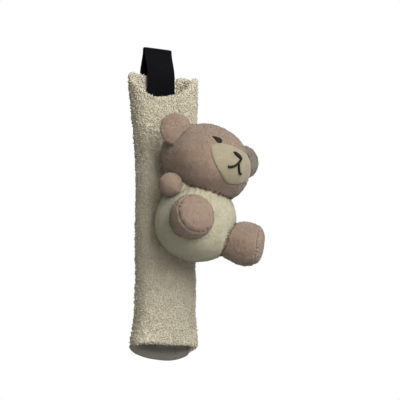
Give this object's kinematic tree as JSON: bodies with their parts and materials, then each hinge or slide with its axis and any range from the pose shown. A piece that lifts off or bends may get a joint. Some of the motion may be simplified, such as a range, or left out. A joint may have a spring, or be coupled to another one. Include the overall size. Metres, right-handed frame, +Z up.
{
  "type": "seat belt shoulder pad",
  "caption": "Soft padded fleece sleeve that wraps round a seat belt at the shoulder, with a webbing loop on top and a small stuffed teddy bear sewn to its front.",
  "frame": {"origin": "middle of the belt passage at the level of the lower mouth", "axes": "+Z up along the belt, +Y out of the flat back that lies on the wearer, the bear looks along -Y"},
  "size_m": [0.1268, 0.1196, 0.3125],
  "materials": {
    "cover_pile": "cream pile fleece, matt",
    "padding_foam": "white foam wadding, matt",
    "lining_cloth": "grey woven lining, matt",
    "closure_tape": "woven hook and loop tape, cream",
    "webbing": "black woven webbing, slight sheen",
    "plush": "taupe short-pile plush, matt",
    "suit_fleece": "cream smooth fleece, matt",
    "embroidery": "dark brown satin stitch, slight sheen",
    "sole_plush": "lighter taupe short-pile plush, matt"
  },
  "bodies": {
    "root": {"sleeve_cover": "cover_pile", "sleeve_padding": "padding_foam", "sleeve_lining": "lining_cloth", "closure_flap": "lining_cloth", "hook_tape": "closure_tape", "loop_tape": "closure_tape", "strap_loop": "webbing", "bear_body": "suit_fleece", "bear_head": "plush", "muzzle_patch": "suit_fleece", "nose": "embroidery", "ear_right": "plush", "eye_right": "embroidery", "mouth_thread_right": "embroidery", "arm_right": "suit_fleece", "paw_right": "plush", "ear_left": "plush", "eye_left": "embroidery", "mouth_thread_left": "embroidery", "arm_left": "suit_fleece", "paw_left": "plush", "leg_right": "plush", "sole_right": "sole_plush", "leg_left": "plush", "sole_left": "sole_plush"}
  },
  "joints": []
}
